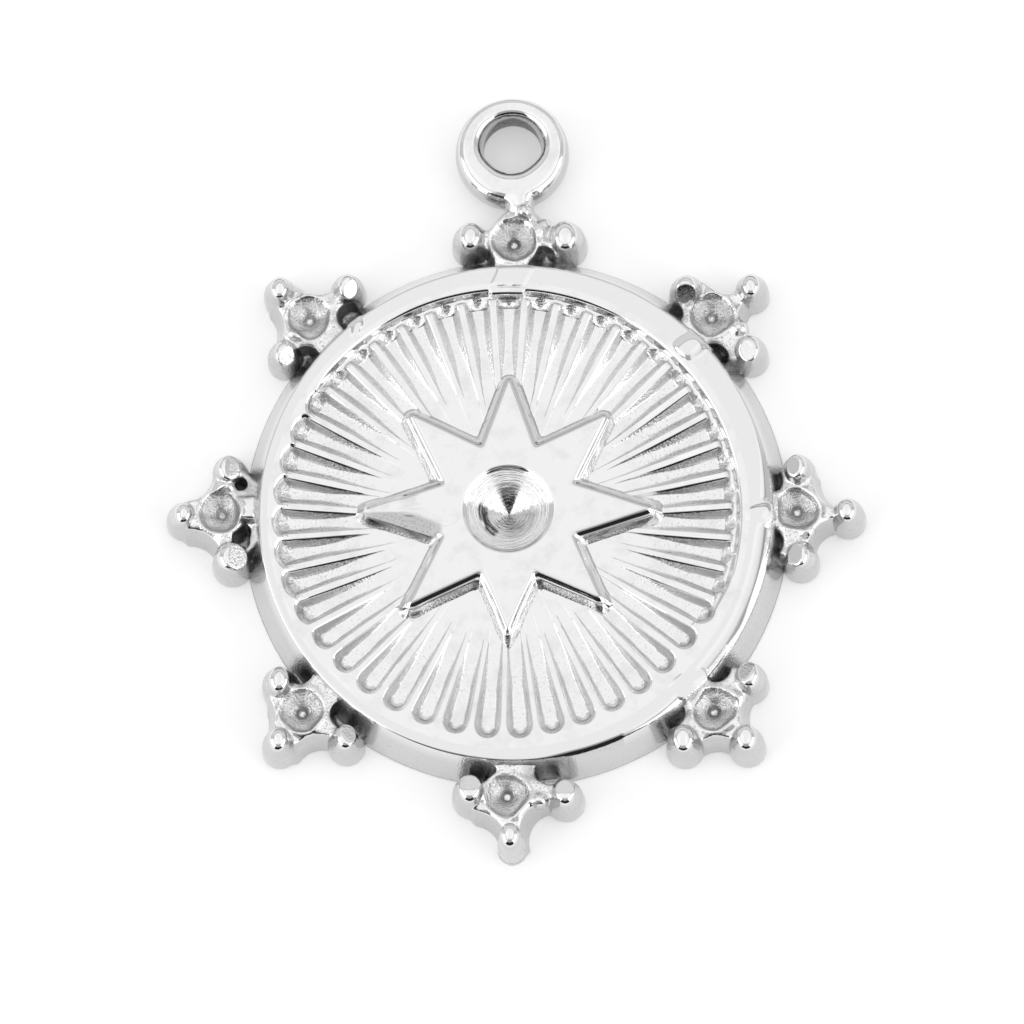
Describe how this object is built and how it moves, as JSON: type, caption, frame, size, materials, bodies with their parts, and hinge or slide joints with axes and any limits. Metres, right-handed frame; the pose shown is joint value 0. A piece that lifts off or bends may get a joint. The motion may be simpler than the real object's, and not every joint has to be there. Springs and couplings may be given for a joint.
{
  "type": "sunburst star charm",
  "caption": "Round cast charm with a raised star on a ribbed sunburst, empty stone seats with prongs round its rim, and a hanging loop.",
  "frame": {"origin": "on the flat back, on the axis of the star and of its centre stone seat", "axes": "+Z out of the face, +Y towards the hanging loop, +X to the right seen from the face"},
  "size_m": [0.0231, 0.026, 0.0022],
  "materials": {
    "plated_metal": "polished white rhodium plate over cast brass, pitted and matt in the recesses"
  },
  "bodies": {
    "root": {"charm_casting": "plated_metal"}
  },
  "joints": []
}
